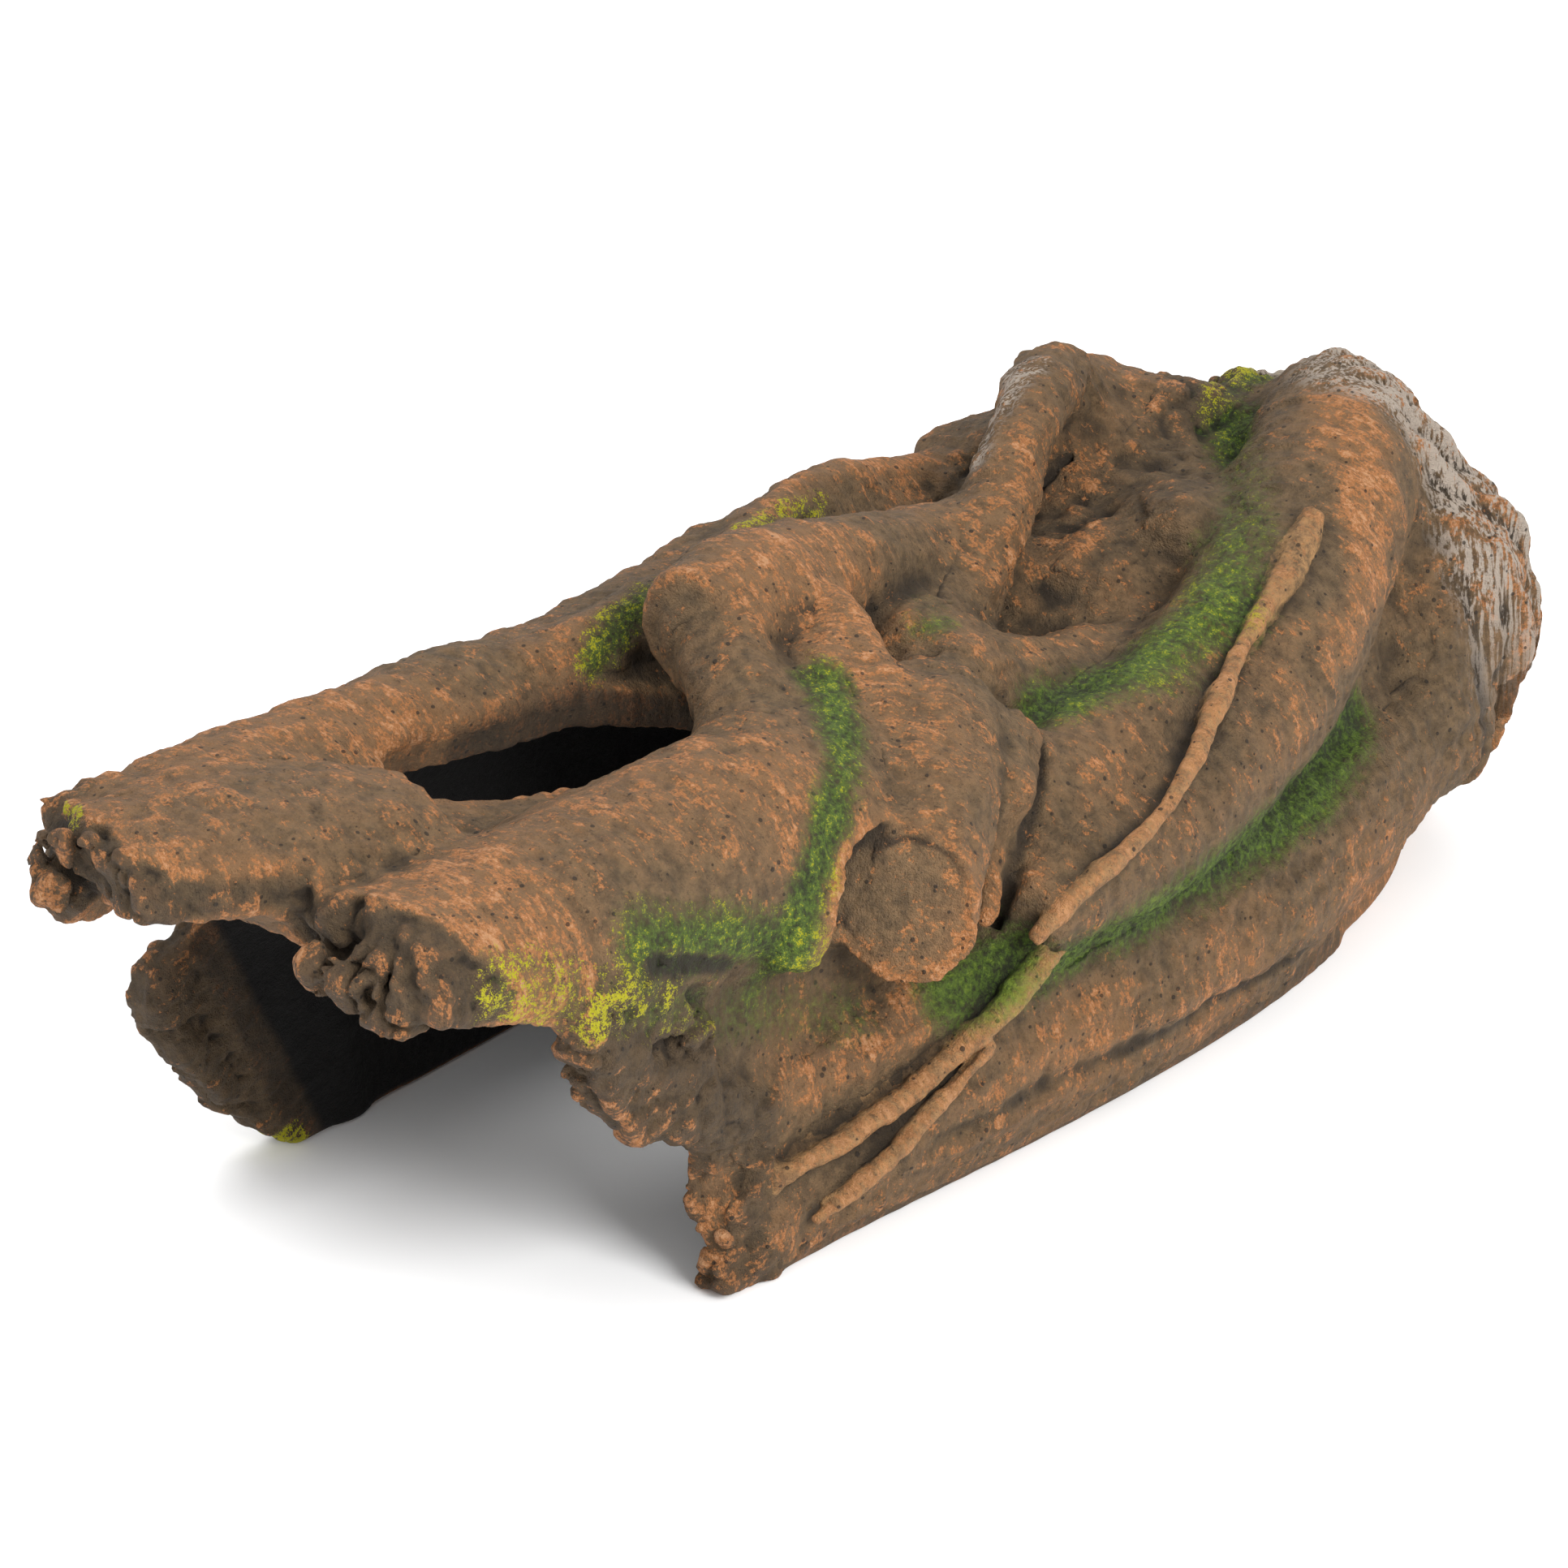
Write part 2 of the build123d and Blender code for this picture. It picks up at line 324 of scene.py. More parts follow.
surfaces = {name: cad_surface(name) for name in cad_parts}
order = ["log_shell"] + sorted(
    (name for name in surfaces if name != "log_shell"), key=lambda name: name in VINES
)
fields = {}
body = np.full(grid_shape, BAND, np.float32)
nearest = np.full(grid_shape, BAND, np.float32)
second = np.full(grid_shape, BAND, np.float32)
owner = np.zeros(grid_shape, np.uint8)
for number, name in enumerate(order):
    if name == order[-len(VINES)]:
        body = box_blur(body, 2)
    values, block = node_field(*surfaces[name])
    if name in VINES:
        values += SLIM
    fields[name] = (values, block)
    body[block] = melt(body[block], values, melt_radius(name))
    closer = values < nearest[block]
    second[block] = np.where(closer, nearest[block], np.minimum(second[block], values))
    nearest[block] = np.where(closer, values, nearest[block])
    owner[block] = np.where(closer, number, owner[block])


def owned_by(*names):
    """1 in the voxels that lie nearest to any of these nodes."""
    return np.isin(owner, [order.index(name) for name in names]).astype(np.float32)


broad = lattice_noise(BROAD, 1)
middling = lattice_noise(MIDDLING, 2)
fine = lattice_noise(FINE, 3)

# Where the wood is broken: the chunks, the crests and the front edge of the roof.
rough = box_blur(owned_by(*CHUNKS, *ROUGH_ROOTS), 3)
edge = np.interp(X.ravel(), EDGE_ACROSS, EDGE_ALONG).reshape(-1, 1, 1).astype(np.float32)
torn = ramp(edge - Y + 2.5 * middling + 1.5 * fine, 0, 2.5) * ramp(Z, 78, 86)
rough = np.maximum(rough * (1 - far_wall_face(Y, Z) * (X < -40) * (X > -64)), torn)
in_valley = (X > VALLEY_ACROSS[0]) & (X < VALLEY_ACROSS[1]) & (Z > VALLEY_BOTTOM)
in_valley = in_valley & (Y > VALLEY_ALONG[0]) & (Y < VALLEY_ALONG[1])
rough = np.maximum(rough, 0.45 * box_blur(owned_by(*VALLEY_NODES) * in_valley, 3))

# The bark of the stump end, and the deep folds that run down it.
bark = stump_bark(X, Y)
round_stump = np.arctan2(X - STUMP_MIDDLE[0], Y - STUMP_MIDDLE[1]) * STUMP_GIRTH
bark_folds = np.sin(round_stump * (2 * math.pi / BARK_FOLD) + 2.5 * broad + 0.8 * middling)
bark_folds += 0.5 * np.sin(round_stump * (2 * math.pi / BARK_CREASE) + 3 * broad + 1.5 * middling)

for start, end, girths, softness in FILLERS:
    distance, block = bar(start, end, girths, softness + 4)
    body[block] = melt(body[block], distance, softness)
for start, end, girth, softness in GROOVES:
    distance, block = bar(start, end, (girth, girth), softness + 4)
    body[block] = -melt(-body[block], distance, softness)
above_foot = ramp(Z, 2, 14)
body += above_foot * (1.1 * broad + 0.7 * middling + 0.3 * fine + 0.8 * bark * bark_folds)
body += rough * (1.7 * cracks(7, 4) + cracks(3.4, 5) + middling + 0.5 * fine - 0.6)
body += 1.6 * torn + 0.9 * bark * (cracks(8, 6) - 0.3)
uncut = body.copy()
x, y, z = X - SAW_POINT[0], Y - SAW_POINT[1], Z - SAW_POINT[2]
cut = x * SAW_OUTWARD[0] + y * SAW_OUTWARD[1] + z * SAW_OUTWARD[2] + 0.15 * fine
body = np.where(x * x + y * y + z * z < SAW_REACH**2, np.maximum(body, cut), body)
body = np.maximum(body, -Z)
broad_shape = box_blur(np.clip(body, -BAND, BAND), 7)
close_shape = box_blur(np.clip(body, -BAND, BAND), 3)

shell = np.zeros(grid_shape, bool)
shell[fields["log_shell"][1]] = fields["log_shell"][0] < 0
roofed = np.maximum.accumulate(shell[:, :, ::-1], 2)[:, :, ::-1]
walled = np.maximum.accumulate(shell, 0) & np.maximum.accumulate(shell[::-1], 0)[::-1]
enclosed = box_blur((roofed & walled & ~shell).astype(np.float32), 2)


def sample(values, points):
    """The grid's values at points, by trilinear interpolation."""
    place = points / VOXEL - grid_start
    place = np.clip(place, 0, np.array(grid_shape) - 1.001)
    index = place.astype(int)
    part = (place - index).astype(np.float32)
    total = np.zeros(len(points), np.float32)
    for corner in range(8):
        step = [(corner >> axis) & 1 for axis in range(3)]
        weight = np.ones(len(points), np.float32)
        for axis in range(3):
            weight *= part[:, axis] if step[axis] else 1 - part[:, axis]
        spot = index + step
        total += weight * values[spot[:, 0], spot[:, 1], spot[:, 2]]
    return total


def slopes(values, points):
    """The unit gradient of the grid's values at points."""
    along = []
    for axis in range(3):
        step = np.zeros(3)
        step[axis] = VOXEL
        along.append(sample(values, points + step) - sample(values, points - step))
    gradient = np.stack(along, 1)
    return gradient / np.maximum(np.linalg.norm(gradient, axis=1, keepdims=True), 1e-6)


def node_piece_surface(name):
    """The closed surface of one node: its share of the body, tucked under its neighbours."""
    values, block = fields[name]
    number = order.index(name)
    rival = np.where(owner[block] == number, second[block], nearest[block])
    share = (values - rival) / 2
    shape = np.maximum(body[block] + SINK * np.clip(share / TUCK, 0, 1), share - TUCK)
    for axis in range(3):
        edge = [slice(None)] * 3
        for end in (0, -1):
            edge[axis] = end
            shape[tuple(edge)] = np.maximum(shape[tuple(edge)], VOXEL)
    grid = openvdb.FloatGrid(BAND)
    corner = [int(part.start + start) for part, start in zip(block, grid_start)]
    grid.copyFromArray(np.ascontiguousarray(shape), ijk=tuple(corner))
    grid.transform = openvdb.createLinearTransform(VOXEL)
    points, quads = grid.convertToQuads(0.0)
    return points, quads


# Large odd numbers that scramble a lattice place and a seed, and the largest scrambled value.
HASH_PRIMES = (73856093, 19349663, 83492791, 2654435761, 1274126177)
HASH_TOP = 0xFFFF


def scattered_noise(points, seed, octaves=2):
    """Smooth noise from -1 to 1 at any points, with features about one unit wide."""
    total = np.zeros(len(points), np.float32)
    size = 1.0
    for octave in range(octaves):
        place = points / size + 17.3 * octave
        index = np.floor(place).astype(np.int64)
        part = (place - index).astype(np.float32)
        part = part * part * (3 - 2 * part)
        layer = np.zeros(len(points), np.float32)
        for corner in range(8):
            step = [(corner >> axis) & 1 for axis in range(3)]
            weight = np.ones(len(points), np.float32)
            for axis in range(3):
                weight *= part[:, axis] if step[axis] else 1 - part[:, axis]
            spot = index + step
            mixed = spot[:, 0] * HASH_PRIMES[0] ^ spot[:, 1] * HASH_PRIMES[1]
            mixed = mixed ^ spot[:, 2] * HASH_PRIMES[2] ^ seed * HASH_PRIMES[3]
            mixed = (mixed ^ (mixed >> 13)) * HASH_PRIMES[4]
            mixed = (mixed ^ (mixed >> 16)) & HASH_TOP
            layer += weight * (mixed.astype(np.float32) / (HASH_TOP / 2) - 1)
        total += layer * size
        size /= 2
    return total


# ---------------------------------------------------------------- painted marks
# Each moss bed follows a groove: its route, its width, how green and how yellow it is.
MOSS_BEDS = (
    (((-6, 153, 98), (14, 137, 98), (28, 113, 97), (42, 82, 92), (44, 49, 90), (40, 27, 88)), 13, 1, 0.35),
    (((-16, 174, 104), (-14, 152, 100), (4, 144, 97)), 9, 0.8, 0.6),
    (((54, 115, 56), (64, 91, 52), (67, 65, 52), (68, 27, 52), (66, -5, 50), (64, -37, 52)), 12, 1, 0.1),
    (((24, -36, 113), (37, -47, 111), (48, -60, 108), (56, -72, 104), (60, -84, 94)), 8, 1, 0.4),
    (((56, -72, 104), (60, -84, 94), (61, -90, 82), (57, -92, 70)), 8, 1, 0.3),
    (((17, -32, 114), (27, -41, 112), (40, -56, 110), (52, -70, 104)), 4, 0.5, 0.9),
    (((50, -164, 100), (57, -148, 93), (57, -128, 91)), 10, 0.4, 0.65),
    (((57, -130, 99), (59, -112, 93), (60, -94, 86), (58, -84, 74)), 11, 0.85, 0.45),
    (((57, -136, 86), (55, -112, 76)), 8, 0.5, 0.3),
    (((52, -98, 68), (53, -80, 60), (54, -60, 52)), 11, 0.45, 0.0),
    (((-30, -50, 108), (-32, -34, 114), (-36, -14, 110)), 6, 0.8, 0.8),
    (((-36, -2, 110), (-44, 22, 109), (-46, 44, 107)), 6, 0.5, 0.9),
    (((2, 22, 101), (14, 14, 103)), 8, 0.9, 0.3),
    (((-58, -188, 114), (-52, -190, 114)), 4, 0.2, 1.0),
    (((-66, -122, 6), (-62, -118, 2)), 5, 0.3, 1.0),
    (((8, 100, 92), (16, 107, 92)), 5, 0.2, 0.9),
    (((-69, -55, 44), (-70, 5, 46), (-70, 65, 62), (-66, 115, 66)), 9, 0.8, 0.2),
)
# The pocket in the near wall under the roof limb, where painted shade darkens the wood.
POCKET = ((52, -98, 68), (53, -80, 60), (54, -60, 52))
# The crest of the stump's limb, where the rust paint is thickest.
RUSTY_CREST = ((21, 152, 118), (38, 141, 112), (49, 131, 102), (57, 121, 91), (62, 103, 85))
# Where the bark is painted pale: a route and a width.
PALE_MARKS = (
    (((14, 167, 116), (34, 177, 98), (52, 187, 76), (54, 191, 52)), 17),
    (((10, 197, 80), (16, 205, 50)), 18),
    (((-20, 76, 114), (-28, 94, 127), (-30, 102, 127)), 6),
)


def distance_to_route(points, route):
    """How far each point is from a chain of straight runs."""
    least = np.full(len(points), 1e9, np.float32)
    for start, end in zip(route[:-1], route[1:]):
        start = np.array(start, np.float32)
        run = np.array(end, np.float32) - start
        place = np.clip((points - start) @ run / (run @ run), 0, 1)
        away = points - start - place[:, None] * run
        least = np.minimum(least, np.linalg.norm(away, axis=1))
    return least


def sawn(points):
    """1 on the sawn face inside its bark ring, and 1 on the ring itself."""
    depth = -sample(uncut, points) * ramp(points[:, 2], 20, 40)
    ring = np.exp(-(((depth - RING_DEPTH) / RING_WIDTH) ** 2)) * ramp(depth, 0.6, 1.2)
    return ramp(depth, 1.8, 3.2), ring


def shaded(points, normals):
    """1 on the faces that look into the skylight and on the far wall's front edge."""
    toward = np.array(SKYLIGHT_MIDDLE) - points[:, :2]
    distance = np.hypot(*(toward / SKYLIGHT_SIZE).T)
    facing = (toward * normals[:, :2]).sum(1) / np.maximum(np.hypot(*toward.T), 1)
    rim = ramp(facing, 0.25, 0.7) * ramp(1.35 - distance, 0, 0.3) * ramp(108 - points[:, 2], 0, 8)
    return np.maximum(rim, far_wall_face(points[:, 1], points[:, 2]) * looks_inward(points, normals))


def looks_inward(points, normals):
    """1 on the inner side of the far wall."""
    inner_side = ramp(-points[:, 0], 48, 54) * ramp(-points[:, 1], 90, 96)
    return inner_side * ramp(normals[:, 0], 0.3, 0.7)


def painted(points, normals):
    """Named marks for every vertex."""
    wobble = sample(middling, points)
    speckle = sample(fine, points)
    ridge = (sample(close_shape, points) * 2.2 + sample(broad_shape, points) * 0.5).clip(-3, 3)
    moss = np.zeros(len(points), np.float32)
    yellow = np.zeros(len(points), np.float32)
    for route, width, greenness, warmth in MOSS_BEDS:
        away = distance_to_route(points, route) + 2 * wobble + speckle
        bed = 1 - ramp(away, width * 0.1, width * 1.35)
        moss = np.maximum(moss, bed * greenness)
        yellow = np.maximum(yellow, ramp(bed, 0, 0.6) * warmth)
    pale = np.zeros(len(points), np.float32)
    for route, width in PALE_MARKS:
        away = distance_to_route(points, route) + 3 * wobble
        pale = np.maximum(pale, 1 - ramp(away, width * 0.5, width * 1.1))
    # Inside the log and on the far wall's inner face the wood is painted near black as shade.
    inside = ramp(sample(enclosed, points + normals * 2.5), 0.35, 0.75)
    behind_edge = far_wall_face(points[:, 1], points[:, 2], 0) * looks_inward(points, normals)
    inside = np.maximum(inside, behind_edge)
    # Painted shade in the pocket under the roof limb, added to where the wood is broken.
    pocket = 1 - ramp(distance_to_route(points, POCKET), 5, 15)
    # The crack is painted dark as shade along it, and it counts as a hollow.
    crack = 1 - ramp(distance_to_route(points, FISSURE) + 1.3 * wobble + 0.9 * speckle, 1.0, 4.2)
    crest = 1 - ramp(distance_to_route(points, RUSTY_CREST) + 2.5 * wobble + speckle, 2, 13)
    brush = 0.5 + 0.2 * ridge + 0.08 * normals[:, 2] + 0.35 * sample(broad, points) - 0.3 * moss
    brush += 0.45 * crest - 0.4 * sample(rough, points)
    return {
        "moss": moss * (1 - inside) * (1 - 0.6 * crack),
        "yellow": yellow,
        "pale": pale,
        "inside": inside,
        "ridge": ridge - 1.5 * crack,
        "brush": brush.clip(0, 1),
        "shade": np.maximum(shaded(points, normals), 0.8 * crack),
        "broken_and_pocket_shade": np.maximum(sample(rough, points), 0.6 * pocket),
    }


def grain_of(name, points):
    """Places measured along a node's own length, and across it."""
    shape = surfaces[name][0]
    centre = shape.mean(0)
    _, _, axes = np.linalg.svd(shape[:: max(1, len(shape) // 4000)] - centre, full_matrices=False)
    return (points - centre) @ axes.T


# ---------------------------------------------------------------- materials
def srgb(*parts):
    """A linear colour from 0-255 parts."""
    shades = []
    for part in parts:
        part = part / 255
        shades.append(part / 12.92 if part <= 0.04045 else ((part + 0.055) / 1.055) ** 2.4)
    return (*shades, 1.0)


UMBER = srgb(96, 78, 56)
BROWN = srgb(138, 112, 80)
DARK = srgb(50, 42, 34)
WASH = srgb(168, 122, 80)
RUST = srgb(202, 132, 76)
BRIGHT_RUST_AND_GLINT = srgb(228, 174, 128)
SAND = srgb(200, 154, 102)
PALE = srgb(204, 188, 172)
DEEP_GREEN = srgb(50, 60, 32)
GREEN = srgb(94, 122, 42)
LEAF = srgb(150, 176, 58)
LIME = srgb(204, 196, 32)
# Near black: the painted shade inside the log.
INSIDE_SHADE = srgb(15, 12, 10)


class Paint:
    """Builds one material's nodes."""

    def __init__(self, name):
        self.material = bpy.data.materials.new(name)
        self.material.use_nodes = True
        self.tree = self.material.node_tree
        self.shader = self.tree.nodes["Principled BSDF"]

    def add(self, kind, inputs=(), **settings):
        node = self.tree.nodes.new(kind)
        for key, value in settings.items():
            setattr(node, key, value)
        for key, value in dict(inputs).items():
            self.feed(node.inputs[key], value)
        return node

    def feed(self, socket, value):
        if isinstance(value, bpy.types.NodeSocket):
            self.tree.links.new(value, socket)
        else:
            socket.default_value = value

    def mark(self, name):
        return self.add("ShaderNodeAttribute", attribute_name=name).outputs["Fac"]

    def vector(self, name):
        return self.add("ShaderNodeAttribute", attribute_name=name).outputs["Vector"]

    def sums(self, operation, first, second):
        return self.add("ShaderNodeMath", {0: first, 1: second}, operation=operation).outputs[0]

    def blend(self, parts, start=0.0):
        """The sum of sockets, each times its share."""
        total = start
        for socket, share in parts.items():
            node = self.add(
                "ShaderNodeMath", {0: socket, 1: share, 2: total}, operation="MULTIPLY_ADD"
            )
            total = node.outputs[0]
        return total

    def step(self, value, start, end):
        node = self.add(
            "ShaderNodeMapRange",
            {"Value": value, "From Min": start, "From Max": end},
            interpolation_type="SMOOTHSTEP",
        )
        return node.outputs["Result"]

    def mix(self, part, first, second):
        node = self.add("ShaderNodeMix", {0: part, 6: first, 7: second}, data_type="RGBA")
        return node.outputs[2]

    def tint(self, part, strength, under, over):
        """The colour over the one under, where a mark says, at no more than this strength."""
        return self.mix(self.sums("MULTIPLY", part, strength), under, over)

    def stretch(self, vector, scale):
        node = self.add("ShaderNodeMapping", {"Vector": vector, "Scale": scale})
        return node.outputs[0]

    def noise(self, vector, scale, detail=3.0, roughness=0.55):
        node = self.add(
            "ShaderNodeTexNoise",
            {"Vector": vector, "Scale": scale, "Detail": detail, "Roughness": roughness},
        )
        return node.outputs["Fac"]

    def pits(self, vector, scale):
        """Small round pits of mixed sizes, 1 at the middle."""
        node = self.add("ShaderNodeTexVoronoi", {"Vector": vector, "Scale": scale})
        chance = self.add("ShaderNodeSeparateColor", {"Color": node.outputs["Color"]}).outputs[0]
        size = self.sums("MULTIPLY", chance, 0.2)
        inner = self.sums("SUBTRACT", node.outputs["Distance"], size)
        return self.step(inner, 0.03, -0.03)


BUMP_HEIGHT = 2.8   # millimetres, for the whole range of the fine relief


def resin(name, rust=1.0, wash=0.6, dark=0.0, tone=BROWN, smooth=0.0):
    """Painted resin: umber ground, rust dry-brushed on what stands proud, moss, and painted shade in the
    hollows and inside.
    """
    paint = Paint(name)
    place = paint.vector("place")
    grain = paint.vector("grain")
    ridge = paint.mark("ridge")
    brush = paint.mark("brush")

    mottle = paint.noise(place, 0.3, 5.0, 0.7)
    wrinkles = paint.noise(paint.stretch(grain, (0.8, 0.3, 0.3)), 1.0, 5.0, 0.66)
    crumbs = paint.noise(place, 1.3, 3.0, 0.65)
    blotches = paint.noise(place, 0.16, 6.0, 0.75)
    grit = paint.noise(place, 2.4, 3.0, 0.7)
    tuft = paint.noise(place, 0.55, 5.0, 0.72)
    fibres = paint.noise(paint.stretch(paint.vector("strand"), (1.0, 0.07, 1.0)), 1.0, 4.0, 0.6)
    pit = paint.pits(place, 0.34)

    # Ground: umber and brown in a mottle, darker where the wood is broken, with painted shade in the
    # hollows and in the pocket under the roof limb.
    shade = paint.mix(paint.step(mottle, 0.3, 0.7), UMBER, tone)
    washed = paint.step(paint.blend({brush: 1.0, mottle: 0.6}), 0.6, 1.3)
    shade = paint.tint(washed, wash, shade, WASH)
    shade = paint.tint(paint.step(ridge, -0.1, -1.7), 0.8, shade, DARK)
    shade = paint.tint(paint.mark("broken_and_pocket_shade"), 0.45, shade, DARK)

    # Rust, dry-brushed in broken flecks, with a brighter touch on the highest of them, which is also a
    # painted glint.
    flecks = {wrinkles: 0.34, blotches: 0.41, crumbs: 0.25, paint.mark("relief"): 0.035, brush: 0.15}
    level = paint.blend(flecks)
    shade = paint.tint(paint.step(level, 0.615, 0.665), 0.85 * rust, shade, RUST)
    shade = paint.tint(paint.step(level, 0.665, 0.73), 0.7 * rust, shade, BRIGHT_RUST_AND_GLINT)

    # The stump's bark: dark furrows and pale strips.
    strips = paint.blend({fibres: 1.0, paint.mark("strips"): 0.14, crumbs: 0.2})
    furrow = paint.sums("MULTIPLY", paint.mark("bark"), paint.step(strips, 0.52, 0.40))
    shade = paint.tint(furrow, 0.45, shade, DARK)
    light = paint.sums("MULTIPLY", paint.mark("pale"), paint.step(strips, 0.53, 0.66))
    shade = paint.mix(light, shade, PALE)

    # Dark wash and painted shade in the fine recesses and the casting pits, and painted shade on the
    # shaded faces.
    recess = paint.step(paint.blend({wrinkles: 0.6, grit: 0.4}), 0.45, 0.36)
    shade = paint.tint(recess, 0.5, shade, DARK)
    shade = paint.tint(pit, 0.8, shade, DARK)
    shade = paint.tint(paint.mark("shade"), 0.75, shade, DARK)
    if dark:
        shade = paint.mix(dark, shade, DARK)

    # Moss: three greens by height, and lime specks where its bed runs yellow.
    spread = paint.blend({paint.mark("moss"): 1.0, tuft: 0.7, ridge: -0.06})
    bed = paint.sums("MULTIPLY", paint.step(spread, 0.5, 1.3), 0.93)
    lift = paint.blend({tuft: 0.8, crumbs: 0.2, ridge: 0.05})
    green = paint.mix(paint.step(lift, 0.38, 0.56), DEEP_GREEN, GREEN)
    green = paint.tint(paint.step(lift, 0.52, 0.68), 0.7, green, LEAF)
    shade = paint.mix(bed, shade, green)
    yellow = paint.mark("yellow")
    specks = paint.step(paint.blend({lift: 0.6, grit: 0.4, yellow: 0.08}), 0.59, 0.64)
    specks = paint.sums("MULTIPLY", specks, paint.step(yellow, 0.05, 0.5))
    shade = paint.mix(specks, shade, LIME)
    # Near black inside the log: painted shade.
    shade = paint.mix(paint.mark("inside"), shade, INSIDE_SHADE)

    height = paint.blend({wrinkles: 1.3, crumbs: 0.9, pit: -0.6, tuft: 0.5, blotches: 0.7, grit: 0.8})
    height = paint.sums("ADD", height, paint.sums("MULTIPLY", tuft, paint.sums("MULTIPLY", bed, 1.5)))
    height = paint.sums("ADD", height, paint.sums("MULTIPLY", strips, paint.mark("pale")))
    depth = (BUMP_HEIGHT - smooth) * MM
    bump = paint.add("ShaderNodeBump", {"Strength": 1.0, "Distance": depth, "Height": height})
    paint.feed(paint.shader.inputs["Normal"], bump.outputs[0])
    paint.feed(paint.shader.inputs["Base Color"], shade)
    paint.feed(paint.shader.inputs["Roughness"], paint.blend({mottle: 0.25}, 0.6))
    paint.shader.inputs["Specular IOR Level"].default_value = 0.3
    return paint.material


PAINTS = {
    "cast_shell": resin("cast_shell_resin", rust=0.9),
    "root_bark": resin("root_bark_resin"),
    "broken_edge": resin("broken_edge_resin", rust=0.9, wash=0.3),
    "vine_resin": resin("vine_resin_paint", rust=0.5, wash=0.4, tone=SAND, smooth=0.8),
    "pale_bark": resin("pale_bark_resin", wash=0.4),
    "mossy_root": resin("mossy_root_resin"),
    "base_rim": resin("base_rim_resin", rust=0.45, wash=0.2, dark=0.35),
}


# ---------------------------------------------------------------- pieces
def strand_places(points):
    """Places on the bark of the stump end: round it, up it and out from its middle."""
    x, y = points[:, 0] - STUMP_MIDDLE[0], points[:, 1] - STUMP_MIDDLE[1]
    return np.stack([np.arctan2(x, y) * STUMP_GIRTH, points[:, 2], np.hypot(x, y)], 1)


def relief(name, points, marks, inner, ring):
    """How far each vertex stands out from the body, with the folds and bark strips in it."""
    grain = grain_of(name, points)
    folds = scattered_noise(grain * (0.42, 0.09, 0.09), 7)
    strips = scattered_noise(strand_places(points) * (0.4, 0.03, 0.1), 9)
    pitted = scattered_noise(points * 0.42, 11)
    tufts = np.abs(scattered_noise(points * 0.5, 13))
    fold_height = VINE_FOLD_HEIGHT if name in VINES else FOLD_HEIGHT
    raised = fold_height * folds * (1 - marks["bark"]) * (1 - inner)
    raised = raised + STRIP_HEIGHT * strips * marks["bark"] + PIT_HEIGHT * pitted
    if name in LONG_GRAINED:
        raised += GRAIN_HEIGHT * scattered_noise(grain * (0.035, 0.3, 0.3), 15) * (1 - inner)
    raised += TUFT_HEIGHT * marks["moss"] * tufts - SAWN_DEPTH * inner - RING_GROOVE * ring
    raised *= ramp(points[:, 2], 1.0, 4.0) * (1 - 0.6 * marks["inside"])
    return raised, folds, strips


def build_mesh(name, points, quads, marks, vectors):
    """A smooth mesh that carries its marks and vectors as attributes."""
    mesh = bpy.data.meshes.new(name)
    mesh.vertices.add(len(points))
    mesh.vertices.foreach_set("co", (points * MM).astype(np.float32).ravel())
    mesh.loops.add(len(quads) * 4)
    mesh.loops.foreach_set("vertex_index", quads[:, ::-1].astype(np.int32).ravel())
    mesh.polygons.add(len(quads))
    mesh.polygons.foreach_set("loop_start", np.arange(len(quads), dtype=np.int32) * 4)
    mesh.polygons.foreach_set("use_smooth", np.ones(len(quads), bool))
    for key, values in marks.items():
        layer = mesh.attributes.new(key, "FLOAT", "POINT")
        layer.data.foreach_set("value", values.astype(np.float32))
    for key, values in vectors.items():
        layer = mesh.attributes.new(key, "FLOAT_VECTOR", "POINT")
        layer.data.foreach_set("vector", values.astype(np.float32).ravel())
    mesh.update(calc_edges=True)
    mesh.validate()
    return mesh


def make_piece(name):
    """The detailed piece that replaces one CAD node."""
    points, quads = node_piece_surface(name)
    normals = slopes(body, points)
    inner, ring = sawn(points)
    marks = painted(points, normals)
    marks["bark"] = stump_bark(points[:, 0], points[:, 1])
    marks["pale"] = np.maximum(marks["pale"], marks["bark"] * ramp(points[:, 2], 30, 80))
    # The ring groove counts as a hollow, so it gets the painted shade of the hollows and less rust.
    marks["ridge"] = marks["ridge"] - 2 * ring
    raised, marks["relief"], marks["strips"] = relief(name, points, marks, inner, ring)
    vectors = {
        "place": points + normals * raised[:, None],
        "grain": grain_of(name, points),
        "strand": strand_places(points),
    }
    mesh = build_mesh(name + "_resin", vectors["place"], quads, marks, vectors)
    piece = bpy.data.objects.new(name + "_sculpt", mesh)
    bpy.context.scene.collection.objects.link(piece)
    slot_name = SLOTS.get(name, "root_bark")
    mesh.materials.append(PAINTS[slot_name])
    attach(piece, "root")
    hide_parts(name)


for name in order:
    make_piece(name)


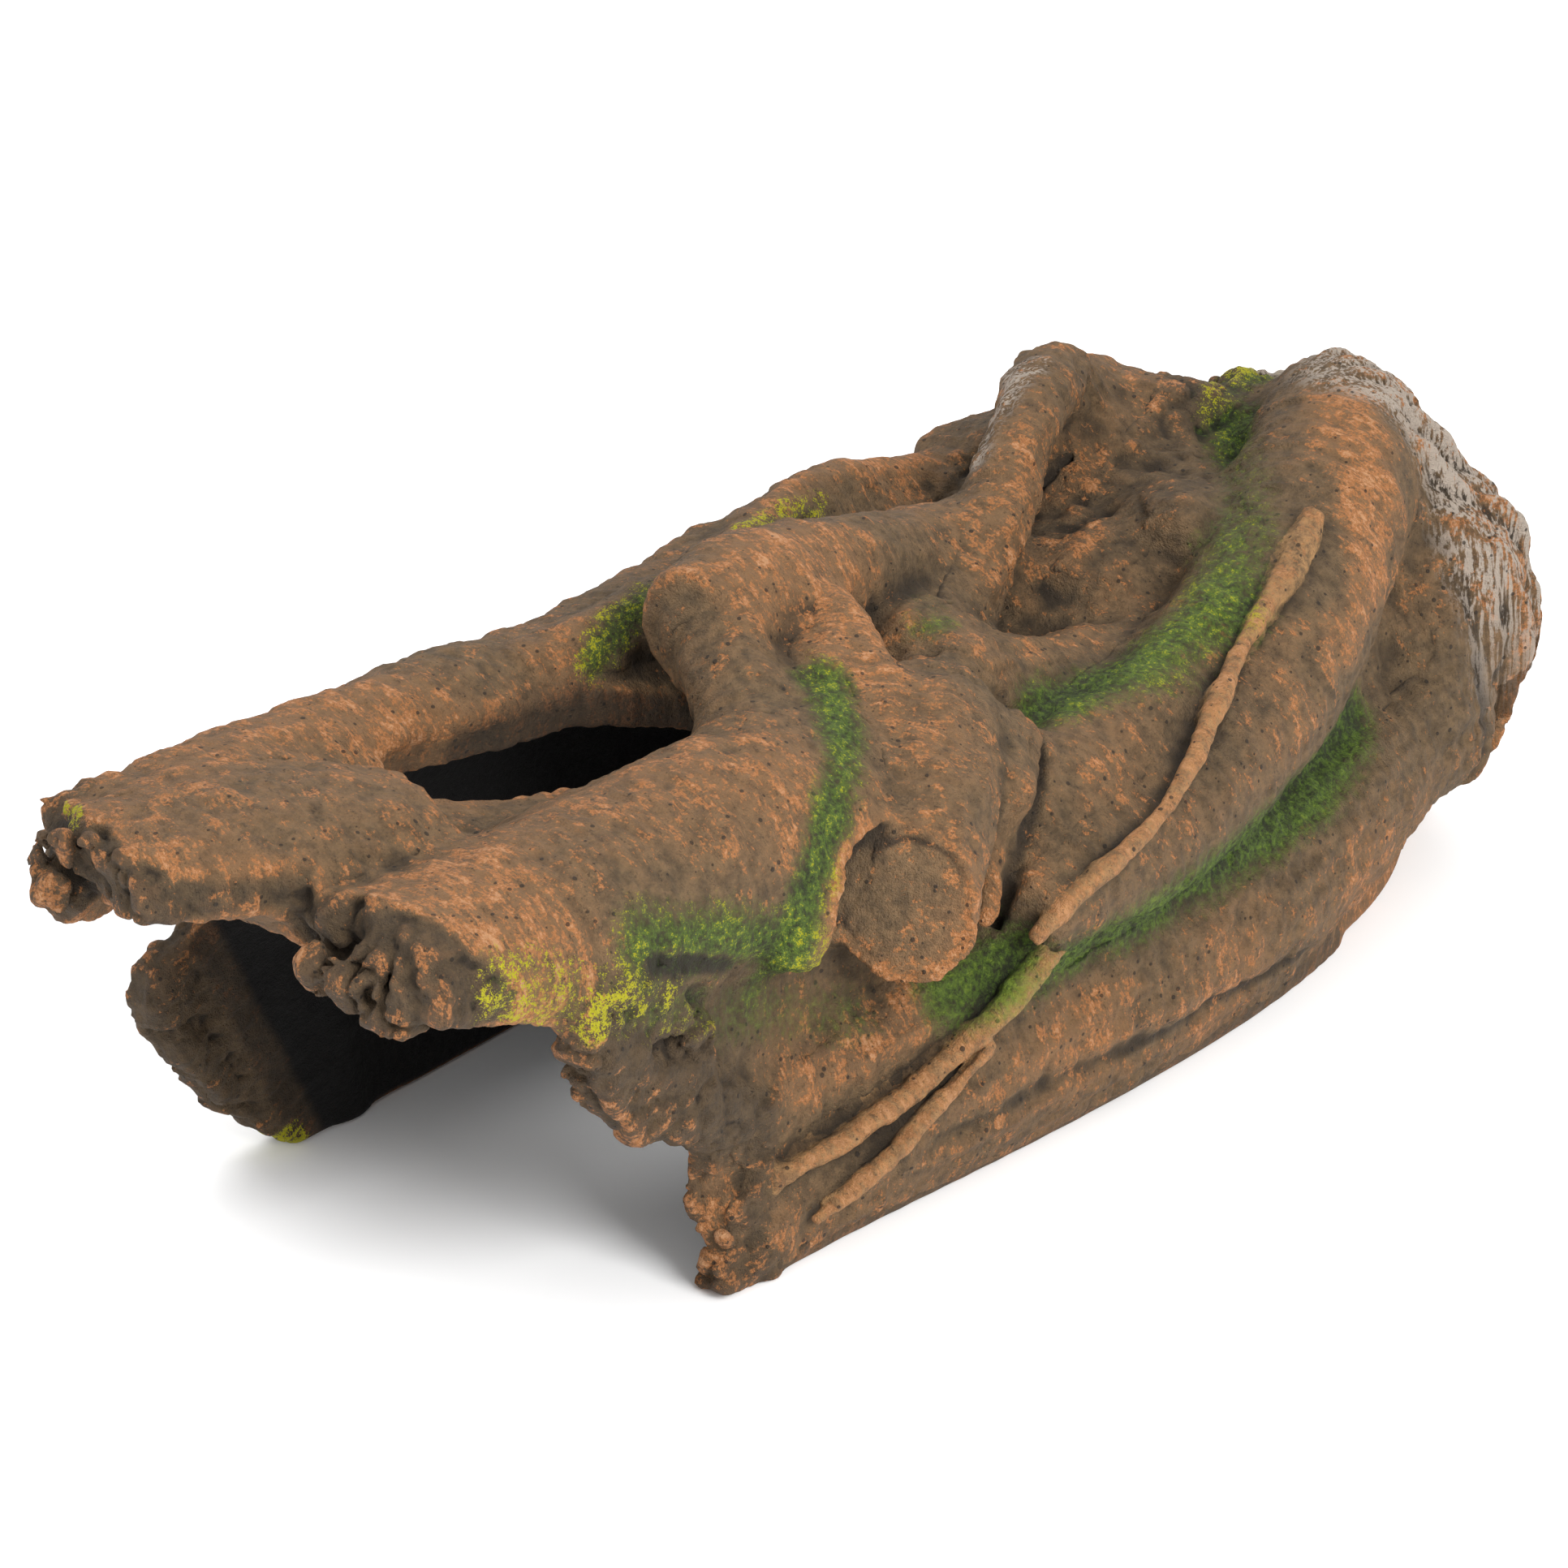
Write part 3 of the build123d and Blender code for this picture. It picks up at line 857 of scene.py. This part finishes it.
# ---------------------------------------------------------------- stage
# Lengths here are in metres. Each lamp has a place, a size and a power in watts.
LAMPS = (
    ("key_light", (-0.2, -0.7, 1.5), 0.7, 11),
    ("side_light", (1.3, -0.3, 0.9), 0.7, 28),
    ("back_light", (-1.1, 0.9, 1.1), 1.2, 6),
)
LAMP_AIM = (0, 0, 0.05)
SKY_STRENGTH = 0.9
FLOOR_COLOUR = (0.95, 0.95, 0.95, 1)
FLOOR_GAP = 0.0002     # the floor lies this far under the resting face

# The camera of the photograph: degrees round from the mouth and up, distance, aim and lens.
CAMERA_AZIMUTH = 41
CAMERA_ELEVATION = 27
CAMERA_DISTANCE = 1.6
CAMERA_AIM = (-0.0168, -0.0018, 0.0623)
CAMERA_LENS = 161


def studio():
    """A pale floor, an even white sky and three soft lamps."""
    scene = bpy.context.scene
    scene.view_settings.view_transform = "Standard"
    bpy.ops.mesh.primitive_plane_add(size=8, location=(0, 0, -FLOOR_GAP))
    floor = bpy.context.object
    floor.name = "studio_floor"
    pale = bpy.data.materials.new("studio_pale")
    pale.use_nodes = True
    shader = pale.node_tree.nodes["Principled BSDF"]
    shader.inputs["Base Color"].default_value = FLOOR_COLOUR
    shader.inputs["Roughness"].default_value = 0.9
    floor.data.materials.append(pale)
    world = scene.world or bpy.data.worlds.new("studio")
    scene.world = world
    world.use_nodes = True
    sky = world.node_tree.nodes["Background"]
    sky.inputs["Color"].default_value = (1, 1, 1, 1)
    sky.inputs["Strength"].default_value = SKY_STRENGTH
    for name, place, size, power in LAMPS:
        data = bpy.data.lights.new(name, "AREA")
        data.size = size
        data.energy = power
        lamp = bpy.data.objects.new(name, data)
        lamp.location = place
        lamp.rotation_euler = (Vector(LAMP_AIM) - Vector(place)).to_track_quat("-Z", "Y").to_euler()
        scene.collection.objects.link(lamp)


def camera():
    turn, rise = math.radians(CAMERA_AZIMUTH), math.radians(CAMERA_ELEVATION)
    back = Vector(
        (math.sin(turn) * math.cos(rise), -math.cos(turn) * math.cos(rise), math.sin(rise))
    )
    data = bpy.data.cameras.new("photo_camera")
    data.lens = CAMERA_LENS
    data.sensor_width = 36
    data.clip_start = 0.05
    data.clip_end = 50
    eye = bpy.data.objects.new("photo_camera", data)
    eye.location = Vector(CAMERA_AIM) + back * CAMERA_DISTANCE
    eye.rotation_euler = (-back).to_track_quat("-Z", "Y").to_euler()
    bpy.context.scene.collection.objects.link(eye)
    bpy.context.scene.camera = eye


studio()
camera()
